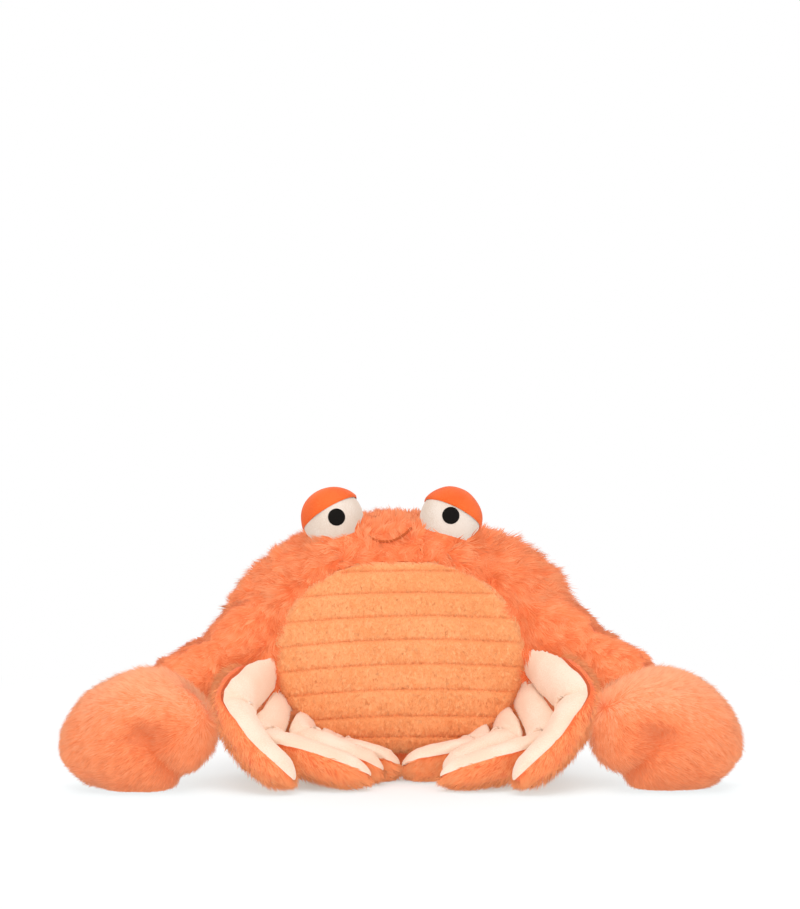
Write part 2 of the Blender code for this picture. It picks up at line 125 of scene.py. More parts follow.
# Cloth with a fine uneven nap: soft patches, and a grain in the colour and in a bump
def napMaterial(name, middle, pale, deep, grain, roughness, sheen, bump, patchSize=25 * mm):
    material, tree, shader = newMaterial(name, roughness, sheen)
    place = addNode(tree, "ShaderNodeTexCoord").outputs["Object"]
    patches = addNode(tree, "ShaderNodeTexNoise", {"Scale": 1 / patchSize, "Detail": 2.0}, {"Vector": place})
    fine = addNode(tree, "ShaderNodeTexNoise", {"Scale": 1 / grain, "Detail": 4.0}, {"Vector": place})
    sums = {0: fine.outputs["Fac"], 2: patches.outputs["Fac"]}
    share = addNode(tree, "ShaderNodeMath", {"operation": "MULTIPLY_ADD", 1: 0.8}, sums)
    spread = [(0.62, deep), (1.0, pale), (0.9, middle)]
    colour = addNode(tree, "ShaderNodeValToRGB", {"stops": spread}, {"Fac": share.outputs["Value"]})
    tree.links.new(colour.outputs["Color"], shader.inputs["Base Color"])
    height = {"Height": fine.outputs["Fac"]}
    relief = addNode(tree, "ShaderNodeBump", {"Strength": bump, "Distance": grain}, height)
    tree.links.new(relief.outputs["Normal"], shader.inputs["Normal"])
    return material


# Satin stitch: close parallel threads, matt, with a thread's width as the wave's pitch; the wave
# darkens the gaps as painted shade and pales the crowns as painted highlight
def threadMaterial(name, colour, pale, pitch):
    material, tree, shader = newMaterial(name, 0.8)
    shader.inputs["Specular IOR Level"].default_value = 0.05
    place = addNode(tree, "ShaderNodeTexCoord").outputs["Object"]
    wave = {"bands_direction": "X", "Scale": 0.314 / pitch, "Distortion": 0.6, "Detail": 2.0}
    threads = addNode(tree, "ShaderNodeTexWave", wave, {"Vector": place}).outputs["Fac"]
    stitchLightAndShade = addNode(tree, "ShaderNodeValToRGB", {"stops": [(0.0, colour), (1.0, pale)]}, {"Fac": threads})
    tree.links.new(stitchLightAndShade.outputs["Color"], shader.inputs["Base Color"])
    relief = addNode(tree, "ShaderNodeBump", {"Strength": 0.5, "Distance": pitch}, {"Height": threads})
    tree.links.new(relief.outputs["Normal"], shader.inputs["Normal"])
    return material


# Piles: colours at a hair's root, middle and tip, the deep root painted shade and the pale tip
# painted light, then of the deepest and palest tuft. The long fur lies in loose tufts with deep partings,
# the claws' is brushed smooth with painted light that makes it pale on top, and the legs' and the belly's are
# cropped short.
longFur = pileMaterial("long orange polyester fur", "dc4e1e", "f97a45", "ffa070", "dd5222", "ffa576", 0.3)
smoothFur = pileMaterial("smooth orange claw plush", "e85e2a", "fb8450", "ffaa7a", "cf4a1e", "ffba92", 0.4)
shortFur = pileMaterial("short orange leg fur", "f06c34", "ff8f58", "ffa874", "f67840", "ffb07c", 0.4)
bellyPile = pileMaterial("belly plush pile", "e37c42", "fba46c", "ffb67e", "dc743c", "ffb985", 0.3)

# Cloths: middle, pale and deep colour, grain, roughness, sheen and bump. The suedette
# is almost even, with a faint bloom; the felts show a dull matted grain.
# The fur backing is a deep orange: painted shade in the gaps between hairs, which cast no shadow on it
furBacking = napMaterial("knitted fur backing", "f07040", "f57a48", "e66434", 0.8 * mm, 0.95, 0.1, 0.3)
bellyPlush = napMaterial("ribbed belly plush", "f29a60", "f8a46c", "e78c54", 0.9 * mm, 0.95, 0.2, 0.5)
suedette = napMaterial("cream suedette", "f1d2ba", "f5dac5", "edcab0", 0.7 * mm, 0.95, 0.2, 0.12)
eyeFelt = napMaterial("off white eye felt", "dccabb", "e4d6ca", "d5c1b0", 0.5 * mm, 0.95, 0.15, 0.2)
lidFelt = napMaterial("orange lid felt", "e86227", "ef6c31", "de5921", 0.5 * mm, 0.95, 0.1, 0.25)

# Threads: colour in the gaps (painted shade) and on the crowns (painted highlight) of the stitches, and their
# pitch
pupilThread = threadMaterial("black pupil embroidery", "100e0d", "221f1d", 0.45 * mm)
mouthThread = threadMaterial("brown mouth thread", "b84e24", "d46a3c", 0.5 * mm)


def addMesh(name, points, faces, material):
    mesh = bpy.data.meshes.new(name)
    faces = np.asarray(faces)
    mesh.vertices.add(len(points))
    mesh.vertices.foreach_set("co", np.asarray(points, np.float32).ravel())
    mesh.loops.add(faces.size)
    mesh.loops.foreach_set("vertex_index", faces.astype(np.int32).ravel())
    mesh.polygons.add(len(faces))
    mesh.polygons.foreach_set("loop_start", np.arange(0, faces.size, faces.shape[1], dtype=np.int32))
    mesh.polygons.foreach_set("use_smooth", np.full(len(faces), True))
    mesh.update(calc_edges=True)
    mesh.validate(clean_customdata=False)
    mesh.materials.append(material)
    obj = bpy.data.objects.new(name, mesh)
    bpy.context.collection.objects.link(obj)
    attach(obj, "root")
    return obj


def gridFaces(rows, columns, wrap):
    across = np.arange(columns if wrap else columns - 1)
    following = (across + 1) % columns
    starts = np.arange(rows - 1)[:, None] * columns
    below = starts + columns
    corners = [starts + across, starts + following, below + following, below + across]
    return np.stack(corners, -1).reshape(-1, 4)


# Outward normals of a grid; a ring that closes to a point takes its neighbour's mean
def gridNormals(grid, wrap, middle):
    if wrap:
        wide = np.concatenate([grid[:, -1:], grid, grid[:, :1]], 1)
        across = wide[:, 2:] - wide[:, :-2]
    else:
        across = np.gradient(grid, axis=1)
    normals = unit(np.cross(across, np.gradient(grid, axis=0)))
    for row, beside in ((0, 1), (-1, -2)):
        if np.ptp(grid[row], axis=0).max() < 1e-6:
            normals[row] = unit(normals[beside].mean(0))
    outward = (normals * (grid - middle)).sum(-1)
    return normals if outward.mean() > 0 else -normals


# A soft form: its points, outward faces and normals
def makeForm(grid, wrap, middle=None):
    middle = grid.reshape(-1, 3).mean(0) if middle is None else middle
    normals = gridNormals(grid, wrap, middle)
    faces = gridFaces(*grid.shape[:2], wrap)
    points, flat = grid.reshape(-1, 3), normals.reshape(-1, 3)
    corner = points[faces]
    facing = np.cross(corner[:, 1] - corner[:, 0], corner[:, 2] - corner[:, 0])
    if (facing * flat[faces[:, 0]]).sum(-1).mean() < 0:
        faces = faces[:, ::-1]
    return {"points": points, "faces": faces, "normals": flat}


def scatter(form, count, weight=None):
    points, faces, normals = form["points"], form["faces"], form["normals"]
    triangles = np.concatenate([faces[:, [0, 1, 2]], faces[:, [0, 2, 3]]])
    a, b, c = (points[triangles[:, k]] for k in range(3))
    share = np.linalg.norm(np.cross(b - a, c - a), axis=1)
    if weight is not None:
        share = share * weight((a + b + c) / 3)
    picked = rng.choice(len(triangles), count, p=share / share.sum())
    u, v = rng.random(count), rng.random(count)
    u, v = np.where(u + v > 1, 1 - u, u), np.where(u + v > 1, 1 - v, v)
    mix = np.stack([1 - u - v, u, v], -1)[..., None]
    return (points[triangles[picked]] * mix).sum(1), unit((normals[triangles[picked]] * mix).sum(1))


# What all hairs share: how much a lock draws them in, how their tone and roll vary, how
# much painted shade and light move their tone, how far their shading leans to the tip,
# and their gap to the floor
strand = {
    "draw": (0.5, 1.1), "middleDraw": 0.45, "toneNoise": 0.12, "depth": 0.45, "roll": 0.25,
    "widths": (0.7, 1.3), "toTip": (0.1, 0.25, 0.25, 0.4), "roughen": 0.08, "toneWidth": 0.005,
    "floorGap": 0.4 * mm,
}


# For each place, the number of the point that is nearest to it
def nearestOf(points, places):
    tree = KDTree(len(points))
    for index, point in enumerate(points):
        tree.insert(point, index)
    tree.balance()
    return np.array([tree.find(place)[1] for place in places])


# Hairs are flat kites of two triangles, combed along the pile and drawn into locks.
# comb gives their way, trim their share of the length, shade the painted shade that deepens
# their tone, and the painted light that pales it where shade is below zero.
def growPile(name, form, pile, comb, material, weight=None, trim=None, shade=None, keep=None):
    roots, normals = scatter(form, pile["count"], weight)
    count = len(roots)
    lengths = pile["length"] * rng.uniform(1 - pile["uneven"], 1 + pile["uneven"], count)
    lengths = lengths * (trim(roots) if trim else 1)
    swirl = np.stack([lumps(roots, pile["swirlSize"], 90 + k) for k in range(3)], -1)
    way = unit(comb(roots)) + swirl * pile["swirl"]
    way = unit(way - normals * (way * normals).sum(-1, keepdims=True))
    jitter = rng.normal(size=(count, 3)) * pile["stray"]
    start = unit(normals * pile["lift"] + way * (1 - pile["lift"]) + jitter)
    bend = unit(start + way * pile["bend"])
    middles = roots + start * lengths[:, None] * 0.5
    tips = middles + bend * lengths[:, None] * 0.5

    lockCount = max(4, int(count / pile["lock"]))
    chosen = rng.choice(count, lockCount, replace=False)
    lock = nearestOf(roots[chosen], roots)
    pull = pile["gather"] * rng.uniform(*strand["draw"], count)[:, None]
    lockTone = rng.random(lockCount)[lock]
    tips = tips + (tips[chosen][lock] - tips) * pull
    middles = middles + (middles[chosen][lock] - middles) * pull * strand["middleDraw"]
    for end in (middles, tips):
        end[:, 2] = np.maximum(end[:, 2], strand["floorGap"])

    kept = keep(roots, middles, tips) if keep else np.ones(count, bool)
    # a tuft's random tone, less painted shade, plus painted light where shade is below zero
    tone = 0.5 + (lockTone - 0.5) * pile["tones"] + rng.normal(0, strand["toneNoise"], count)
    tone = np.clip(tone - (shade(roots) * strand["depth"] if shade else 0), 0.02, 0.98)[kept]
    roots, normals, middles, tips = roots[kept], normals[kept], middles[kept], tips[kept]
    count = len(roots)

    side = unit(np.cross(tips - roots, normals))
    side = unit(side + normals * rng.normal(0, strand["roll"], (count, 1)))
    wide = pile["width"] * rng.uniform(*strand["widths"], (count, 1)) / 2
    points = np.stack([roots, middles - side * wide, middles + side * wide, tips], 1)
    base = np.arange(count)[:, None] * 4
    kites = np.concatenate([base + [0, 2, 1], base + [1, 2, 3]], 1).reshape(-1, 3)
    obj = addMesh(name, points.reshape(-1, 3), kites, material)

    mesh = obj.data
    half, full = strand["toneWidth"] / 2, strand["toneWidth"]
    uAt = np.stack([tone + half, tone, tone + full, tone + half], 1)
    uv = np.stack([uAt, np.tile([0.01, 0.5, 0.5, 0.99], (count, 1))], -1).reshape(-1, 2).astype(np.float32)
    mesh.uv_layers.new(name="OFBake").uv.foreach_set("vector", uv[kites.ravel()].ravel())
    along = unit(tips - roots)[:, None] * np.array(strand["toTip"])[:, None]
    tilt = rng.normal(0, pile["relief"], (lockCount, 3))[lock[kept]]
    soft = unit(normals[:, None] + along + tilt[:, None] + rng.normal(0, strand["roughen"], (count, 1, 3)))
    mesh.normals_split_custom_set_from_vertices(soft.reshape(-1, 3))
    # Pile this thin lets light through: the cloth below it throws the shadows
    obj.visible_shadow = False
    obj.visible_diffuse = False
    print(name, count, "hairs")


# The cloth that a pile grows from, which stands for the stuffed CAD nodes named
def addBacking(name, form, fill, *nodes):
    backing = addMesh(name, form["points"], form["faces"], furBacking)
    backing.visible_diffuse = False
    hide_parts(*nodes)


def combAlong(vector):
    return lambda roots: np.broadcast_to(np.asarray(vector, float), roots.shape)


# Body cushion, in the same measures as its solid
body = {
    "width": 0.208, "above": 0.079, "below": 0.072, "sink": 0.006, "front": 0.050, "back": 0.064,
    "fullness": 1.35, "bellyWidth": 0.140, "bellyHeight": 0.109, "bellyRoundness": 2.2,
}
coverLow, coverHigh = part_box("back_cover")
coverMiddle = (coverLow[0] + coverHigh[0]) / 2
bodyMid = np.array([coverMiddle, coverHigh[1] - body["back"], body["below"] - body["sink"]])


def halfHeight(height, inset):
    return np.where(height > 0, body["above"], body["below"]) - inset


def frontShare(share):
    return np.sqrt(np.maximum(0, 1 - np.maximum(share, 0) ** body["fullness"]))


def bodyFront(x, z, inset):
    share = (x / (body["width"] / 2 - inset)) ** 2 + (z / halfHeight(z, inset)) ** 2
    return -(body["front"] - inset) * frontShare(share)


def bodyPoints(turn, slope, inset):
    front = -(body["front"] - inset) * frontShare(np.sin(slope) ** 2)
    y = np.where(slope < math.pi / 2, front, -(body["back"] - inset) * np.cos(slope))
    x = (body["width"] / 2 - inset) * np.sin(slope) * np.cos(turn)
    z = halfHeight(np.sin(turn), inset) * np.sin(slope) * np.sin(turn)
    return np.stack([x, y, z], -1) + bodyMid


# Length in the belly outline's own measure: 1 on its seam, less inside
def bellyLength(x, z):
    power = body["bellyRoundness"]
    across, up = np.abs(x) / (body["bellyWidth"] / 2), np.abs(z) / (body["bellyHeight"] / 2)
    return (across**power + up**power) ** (1 / power)


def seamSlope(turn, inset):
    x = (body["width"] / 2 - inset) * np.cos(turn)
    z = halfHeight(np.sin(turn), inset) * np.sin(turn)
    return np.arcsin(np.minimum(1, 1 / bellyLength(x, z)))


def bellyShare(points):
    local = points - bodyMid
    return bellyLength(local[:, 0], local[:, 2])


# Eyes and mouth come first, because the fur parts round them
eye = {
    "size": 0.0340, "spacing": 0.0655, "shift": -0.0047, "forward": 0.013, "height": 0.1413, "pupil": 0.0095,
}
eyeMids = [
    bodyMid * [1, 1, 0] + [side * eye["spacing"] / 2 + eye["shift"], -eye["forward"], eye["height"]]
    for side in (-1, 1)
]
mouth = {
    "width": 0.0235, "drop": 0.0045, "height": 0.1345, "shift": -0.0055, "tilt": 0.0022,
    "thread": 0.8 * mm, "sink": 1.0 * mm, "tuck": 2.5 * mm,
}


def mouthPoint(share, inset):
    x = mouth["shift"] + share * mouth["width"] / 2
    z = mouth["height"] + mouth["drop"] * (share**2 - 1) + mouth["tilt"] * share - bodyMid[2]
    return bodyMid + np.stack([x, bodyFront(x, z, 0) + inset, z], -1)


mouthLine = mouthPoint(np.linspace(-1, 1, 25), 0)


def mouthDistance(points):
    flat = points[:, None, [0, 2]] - mouthLine[None][:, :, [0, 2]]
    return np.linalg.norm(flat, axis=-1).min(1)


# Piles: inset is the backing's depth below the furry outline, uneven the spread of the
# lengths, lift how steeply hairs rise, lock how many share a tuft, gather how much it
# draws them in, tones and relief how much tufts differ in colour and in shading
bodyFur = {
    "count": 84000, "inset": 5.6 * mm, "length": 9.5 * mm, "uneven": 0.3, "lift": 0.48, "bend": 0.40,
    "stray": 0.18, "lock": 14, "gather": 0.62, "width": 0.55 * mm, "tones": 1.1, "relief": 0.20,
    "swirl": 0.8, "swirlSize": 15 * mm,
}
backFur = {**bodyFur, "count": 42000, "lift": 0.38, "width": 0.75 * mm, "lock": 10, "gather": 0.45}
parting = {  # where no hair stands, round an eye and along the mouth
    "eyeRoot": 1 * mm, "eyeGap": 0.3 * mm, "eyeHalf": 16 * mm, "rim": 7.2 * mm, "rimRise": 11 * mm,
    "riseFrom": 4 * mm, "riseTo": 20 * mm, "mouth": 0.8 * mm,
}
lay = {  # how the face's hair is combed and trimmed
    "spread": 0.6, "fall": (0, 0.35, -0.8), "underEye": (0, 0, 1.2), "eyeNear": 17 * mm,
    "eyeFar": 24 * mm, "overMouth": (0, 0, 2.0), "mouthReach": 8 * mm, "mouthStart": 3 * mm,
    "overSeam": 1.2, "seamEnd": 1.10, "fluff": 0.30, "mouthLength": 0.6,
}
# Painted shade at the front by the belly's seam, and painted light on the top of the head
bodyPaintedShadeAndLight = {"seam": 0.6, "seamEnd": 1.12, "top": 1.2, "topRise": 14 * mm}
# The cloth swells below each eye: inward of it in mm, and forward and height in mm
swell = {"size": 7 * mm, "reach": 13 * mm, "inward": 4, "place": (-8, -13)}


def towardsMiddle(mid):
    return np.sign(eye["shift"] - mid[0])


def bodyTrim(roots):
    local = roots - bodyMid
    farRight = smooth(local[:, 0], 20 * mm, 75 * mm) * smooth(local[:, 2], -10 * mm, 30 * mm)
    fluffy = 1 + lay["fluff"] * farRight
    low = lay["mouthLength"]
    byMouth = low + (1 - low) * smooth(mouthDistance(roots), 1 * mm, lay["mouthReach"])
    return fluffy * np.where(local[:, 1] < 0, byMouth, 1)


def clearOfFace(roots, middles, tips):
    kept = np.ones(len(roots), bool)
    ball = eye["size"] / 2
    for mid in eyeMids:
        kept &= np.linalg.norm(roots - mid, axis=1) > ball - parting["eyeRoot"]
        for end in (middles, tips):
            kept &= np.linalg.norm(end - mid, axis=1) > ball + parting["eyeGap"]
            inward = (end[:, 0] - mid[0]) * towardsMiddle(mid)
            rise = smooth(inward, parting["riseFrom"], parting["riseTo"])
            rim = mid[2] - parting["rim"] + parting["rimRise"] * rise
            kept &= (np.abs(inward) > parting["eyeHalf"]) | (end[:, 1] > mid[1]) | (end[:, 2] < rim)
    for end in (middles, tips):
        kept &= (mouthDistance(end) > parting["mouth"]) | (end[:, 1] > bodyMid[1])
    return kept


# Down, outward and back, up in front of the eyes, parted at the mouth, and laid over
# the belly's seam
def bodyComb(roots):
    local = roots - bodyMid
    way = unit(local * [1, 0, 0.4]) * lay["spread"] + lay["fall"]
    for mid in eyeMids:
        near = smooth(-np.linalg.norm(roots - mid, axis=1), -lay["eyeFar"], -lay["eyeNear"])
        way = way + (near * (roots[:, 2] < mid[2]))[:, None] * lay["underEye"]
    onFront = local[:, 1] < 0
    nearMouth = np.exp(-((mouthDistance(roots) / lay["mouthReach"]) ** 2))
    aboveMouth = nearMouth * onFront * (roots[:, 2] > mouth["height"] - lay["mouthStart"])
    nearSeam = (1 - smooth(bellyShare(roots), 1.0, lay["seamEnd"])) * onFront
    overSeam = unit(local * [1, 0, 1]) * nearSeam[:, None] * lay["overSeam"]
    return way + aboveMouth[:, None] * lay["overMouth"] - overSeam


# Painted shade deepens the hair at the front near the belly's seam; painted light pales it on the top of the
# head
def bodyShade(roots):
    nearSeam = 1 - smooth(bellyShare(roots), 1.0, bodyPaintedShadeAndLight["seamEnd"])
    onTop = smooth(roots[:, 2], mouth["height"], mouth["height"] + bodyPaintedShadeAndLight["topRise"])
    return bodyPaintedShadeAndLight["seam"] * nearSeam * (roots[:, 1] < bodyMid[1]) - bodyPaintedShadeAndLight["top"] * onTop


def coverGrid(rows, columns, inset):
    turn = np.linspace(0, 2 * math.pi, columns, endpoint=False)
    start = seamSlope(turn, inset) * 0.97  # a little under the belly's edge
    share = np.linspace(0, 1, rows)[:, None] ** 0.9
    grid = bodyPoints(turn, start + (math.pi - start) * share, inset)
    push = lumps(grid, 55 * mm, 3) * 0.8 * mm
    for mid in eyeMids:
        fold = mid + np.array([towardsMiddle(mid) * swell["inward"], *swell["place"]]) * mm
        away = np.linalg.norm(grid - fold, axis=-1)
        push = push + swell["size"] * np.exp(-((away / swell["reach"]) ** 2))
    grid = grid + unit(grid - bodyMid) * (push * smooth(share, 0, 0.08))[..., None]
    grid[..., 2] = np.maximum(grid[..., 2], 1.5 * mm)
    return grid


def buildBodyCover():
    form = makeForm(coverGrid(60, 150, bodyFur["inset"]), True, bodyMid)
    addBacking("body_backing", form, 0.7, "back_cover", "body_filling")
    halfWay = bodyMid[1] + 8 * mm

    def inFront(points):
        return points[:, 1] < halfWay

    def behind(points):
        return points[:, 1] >= halfWay

    growPile("face_fur", form, bodyFur, bodyComb, longFur, inFront, bodyTrim, bodyShade, clearOfFace)
    growPile("back_fur", form, backFur, bodyComb, longFur, behind, bodyTrim, None, clearOfFace)


# Belly: ribs between sewn channels that rise in the middle, and a short dart below.
# The seams are shares of the panel's height from its top.
belly = {
    "seams": (0.050, 0.158, 0.277, 0.396, 0.522, 0.653, 0.793, 0.906), "trim": 0.015, "gap": 0.9 * mm,
    "arch": 4.5 * mm, "tilt": 1.6 * mm, "recess": 1.8 * mm, "rise": 1.7 * mm, "channel": 1.0 * mm,
    "edge": 3.0 * mm, "dart": 30 * mm, "dartDepth": 1.1 * mm, "dartWidth": 1.0 * mm,
    "ruffle": 0.16 * mm, "ruffleSize": 3.4 * mm,
}
bellyFur = {
    "count": 46000, "length": 1.8 * mm, "uneven": 0.35, "lift": 0.42, "bend": 0.4, "stray": 0.24,
    "lock": 5, "gather": 0.4, "width": 0.38 * mm, "tones": 1.0, "relief": 0.2,
    "swirl": 0.3, "swirlSize": 20 * mm,
}
# Painted shade on the belly pile: in the channels, at the edge, at the top and at the bottom
bellyPaintedShade = {"seam": 1.8, "seamStart": 0.3 * mm, "seamEnd": 1.8 * mm, "edge": 0.6, "top": 0.9, "bottom": 0.35}


def bellyGrid(columns=100, perRib=16):
    wide, tall = body["bellyWidth"] / 2 - belly["gap"], body["bellyHeight"] / 2 - belly["gap"]
    seams = np.array([1 - 2 * share for share in belly["seams"]])
    edges = [1 - belly["trim"], *seams, belly["trim"] - 1]
    steps = (1 - np.cos(np.pi * np.arange(perRib) / perRib)) / 2
    ribs = [top + (bottom - top) * steps for top, bottom in zip(edges, edges[1:])]
    level = np.concatenate(ribs + [edges[-1:]])[:, None]
    even = np.linspace(-1, 1, columns)[None]
    across = (np.sin(even * math.pi / 2) + even) / 2
    height = level - (belly["arch"] * across**2 - belly["tilt"] * across) / tall * (1 - level**2)
    power = body["bellyRoundness"]
    reach = (1 - np.minimum(np.abs(height), 1) ** power) ** (1 / power)
    x, z = across * reach * wide, height * tall
    away = np.abs(level - seams).min(1, keepdims=True) * tall
    full = 1 - np.exp(-((away / belly["channel"]) ** 1.2))
    edge = np.clip(np.minimum((1 - np.abs(across)) / 0.07, (1 - np.abs(level)) / 0.05), 0, 1)
    depth = belly["recess"] - belly["rise"] * full * edge + belly["edge"] * (1 - edge) ** 2
    inDart = 1 - smooth(z, belly["dart"] - tall - 4 * mm, belly["dart"] - tall + 2 * mm)
    depth = depth + belly["dartDepth"] * inDart * np.exp(-((x / belly["dartWidth"]) ** 2))
    low = smooth(-z, 5 * mm, 40 * mm)
    ruffles = np.sin(x / belly["ruffleSize"] * 2 * math.pi + 2 * np.sin(level * 9))
    depth = depth + belly["ruffle"] * low * ruffles * edge
    grid = np.stack([x, bodyFront(x, z, 0) + depth, z], -1) + bodyMid
    grid[..., 1] += lumps(grid, 30 * mm, 11) * 0.30 * mm
    return grid, np.broadcast_to(away, x.shape).reshape(-1)


def buildBelly():
    grid, away = bellyGrid()
    form = makeForm(grid, False, bodyMid + [0, 0.05, 0])
    panel = addMesh("belly_ribs", form["points"], form["faces"], bellyPlush)
    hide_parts("belly_panel")

    # painted shade: deeper in the channels, at the edge, and at the top and bottom
    def shade(roots):
        seamAway = away[nearestOf(form["points"], roots)]
        height = roots[:, 2] - bodyMid[2]
        top = bellyPaintedShade["top"] * smooth(height, 8 * mm, 40 * mm)
        bottom = bellyPaintedShade["bottom"] * smooth(-height, 15 * mm, 50 * mm)
        inSeam = bellyPaintedShade["seam"] * (1 - smooth(seamAway, bellyPaintedShade["seamStart"], bellyPaintedShade["seamEnd"]))
        return inSeam + bellyPaintedShade["edge"] * smooth(bellyShare(roots), 0.88, 1) + (top + bottom)

    growPile("belly_pile", form, bellyFur, combAlong((0, 0, -1)), bellyPile, shade=shade)


# Arms: an upper arm and a forearm, each a stuffed tube drawn in at its ends, and a claw.
# Elbow, wrist and claw are ways outward and forward from the joint before, and heights.
shoulder = {"spread": 0.126, "height": 0.091, "forward": 0.001}
arms = {
    "left": {
        "side": -1, "elbow": (0.038, 0.040, 0.0675), "wrist": (0.027, 0.029, 0.048), "claw": (0.0130, 0.012),
    },
    "right": {
        "side": 1, "elbow": (0.041, 0.039, 0.0715), "wrist": (0.026, 0.029, 0.0515), "claw": (0.0137, 0.010),
    },
}
# Rows are share of the way and width in mm
upperArm = {"rows": ((0, 32.5), (0.35, 38), (0.62, 38), (0.86, 32.5), (1, 27))}
forearm = {"rows": ((0, 27), (0.25, 31), (0.6, 34), (1, 30))}
claw = {  # angles in degrees round the front; pit is the dimple's place in half widths and heights
    "width": 0.086, "height": 0.070, "depth": 0.060, "flat": 0.0035, "lean": 14, "turn": 9,
    "slope": 0.15, "slopeAngle": 145, "heel": 0.04, "heelAngle": -150, "slit": -48, "notch": 3 * mm,
    "notchSpread": 0.20, "groove": 3 * mm, "grooveSpread": 0.16, "dimple": 7.5 * mm, "dimpleSize": 0.2,
    "pit": (0.33, -0.14),
}
# Painted shade in the claw's dimple, slit and bottom, and painted light on its top
clawPaintedShadeAndLight = {"dimple": 2.4, "dimpleSize": 0.25, "slit": 0.5, "slitSpread": 0.10, "top": 0.9, "bottom": 0.7}
armFur = {
    "count": 20000, "inset": 4 * mm, "length": 9.5 * mm, "uneven": 0.22, "lift": 0.31, "bend": 0.35,
    "stray": 0.12, "lock": 14, "gather": 0.45, "width": 0.5 * mm, "tones": 0.9, "relief": 0.2,
    "swirl": 0.5, "swirlSize": 18 * mm, "underside": 1.5,
}
forearmFur = {**armFur, "count": 16000, "inset": 3.6 * mm, "length": 8.5 * mm}
clawFur = {
    "count": 60000, "inset": 2.8 * mm, "length": 6.8 * mm, "uneven": 0.25, "lift": 0.34, "bend": 0.3,
    "stray": 0.14, "lock": 9, "gather": 0.28, "width": 0.42 * mm, "tones": 0.5, "relief": 0.12,
    "swirl": 0.35, "swirlSize": 26 * mm, "comb": (0.9, 0.05, -0.4),
}


def armPoints(arm):
    root = [arm["side"] * shoulder["spread"] / 2, -shoulder["forward"], shoulder["height"]]
    points = [bodyMid * [1, 1, 0] + root]
    heights = (arm["elbow"][2], arm["wrist"][2], claw["height"] / 2 - claw["flat"])
    for place, height in zip((arm["elbow"], arm["wrist"], arm["claw"]), heights):
        before = points[-1]
        points.append(np.array([before[0] + arm["side"] * place[0], before[1] - place[1], height]))
    return points


# Values drawn towards their neighbours, the two ends kept
def evened(values, times):
    for _ in range(times):
        values[1:-1] = (values[:-2] + 2 * values[1:-1] + values[2:]) / 4
    return values


def tubeForm(start, end, sizes, inset, seed, rows=30, columns=48):
    along = unit(end - start)
    up = unit(np.cross(along, (0, 0, 1)))
    side = np.cross(along, up)
    share = np.linspace(0, 1, rows)
    places, widths = zip(*sizes)
    radius = evened(np.interp(share, places, widths) * mm / 2, 6)
    radius = np.maximum(radius - inset, 2 * mm)
    turn = np.linspace(0, 2 * math.pi, columns, endpoint=False)
    out = up * np.cos(turn)[:, None] + side * np.sin(turn)[:, None]
    centres = start + (end - start) * share[:, None]
    grid = centres[:, None] + out[None] * radius[:, None, None]
    grid = grid + out[None] * (lumps(grid, 30 * mm, seed) * 0.5 * mm)[..., None]
    return makeForm(grid, True)


# The claw's way to its front, inward and up
def clawWays(side):
    lean, turn = math.radians(claw["lean"]), math.radians(claw["turn"])
    level = math.cos(lean)
    front = np.array([side * math.sin(turn) * level, -math.cos(turn) * level, math.sin(lean)])
    inward = -unit(np.cross((0, 0, side), front))
    return front, inward, np.cross(inward, front) * side


def slitAway(angle):
    return np.abs((angle - math.radians(claw["slit"]) + math.pi) % (2 * math.pi) - math.pi)


# How far a place on the front is from the dimple, which lies inward of the middle
def pitAway(across, up):
    return np.hypot(across - claw["pit"][0], up - claw["pit"][1])


def clawForm(side, centre, inset, rows=60, columns=110):
    front, inward, upright = clawWays(side)
    slope = np.linspace(0, math.pi, rows)[:, None]
    angle = np.linspace(0, 2 * math.pi, columns, endpoint=False)[None]
    across, up, ring = np.cos(angle), np.sin(angle), np.sin(slope)
    away = slitAway(angle)
    notch = claw["notch"] * np.exp(-((away / claw["notchSpread"]) ** 2))
    sloped = claw["slope"] * np.maximum(0, np.cos(angle - math.radians(claw["slopeAngle"]))) ** 2
    heel = claw["heel"] * np.maximum(0, np.cos(angle - math.radians(claw["heelAngle"]))) ** 2
    reach = ring * (1 - sloped + heel)
    wide, tall, deep = claw["width"] / 2 - inset, claw["height"] / 2 - inset, claw["depth"] / 2 - inset
    inPit = np.exp(-((pitAway(ring * across, ring * up) / claw["dimpleSize"]) ** 2))
    dimple = claw["dimple"] * inPit * (slope < math.pi / 2)
    inSlit = np.exp(-((away * ring / claw["grooveSpread"]) ** 2)) * smooth(ring, 0.05, 0.3)
    groove = claw["groove"] * inSlit * smooth(np.cos(slope), -0.1, 0.3)
    point = centre + inward * ((wide - notch) * reach * across)[..., None]
    point = point + upright * ((tall - notch) * reach * up)[..., None]
    point = point + front * (deep * np.cos(slope) - dimple - groove)[..., None]
    point = point + unit(point - centre) * (lumps(point, 34 * mm, 21 + side) * 0.7 * mm)[..., None]
    point[..., 2] = np.maximum(point[..., 2], 1.2 * mm)
    return makeForm(point, True, centre)


# Shade for an arm: deeper below its middle line, where it lies in its own shadow
def undersideShade(low, high):
    along = unit(high - low)

    def shade(roots):
        across = roots - low - ((roots - low) @ along)[:, None] * along
        return armFur["underside"] * smooth(-across[:, 2], -4 * mm, 15 * mm)

    return shade


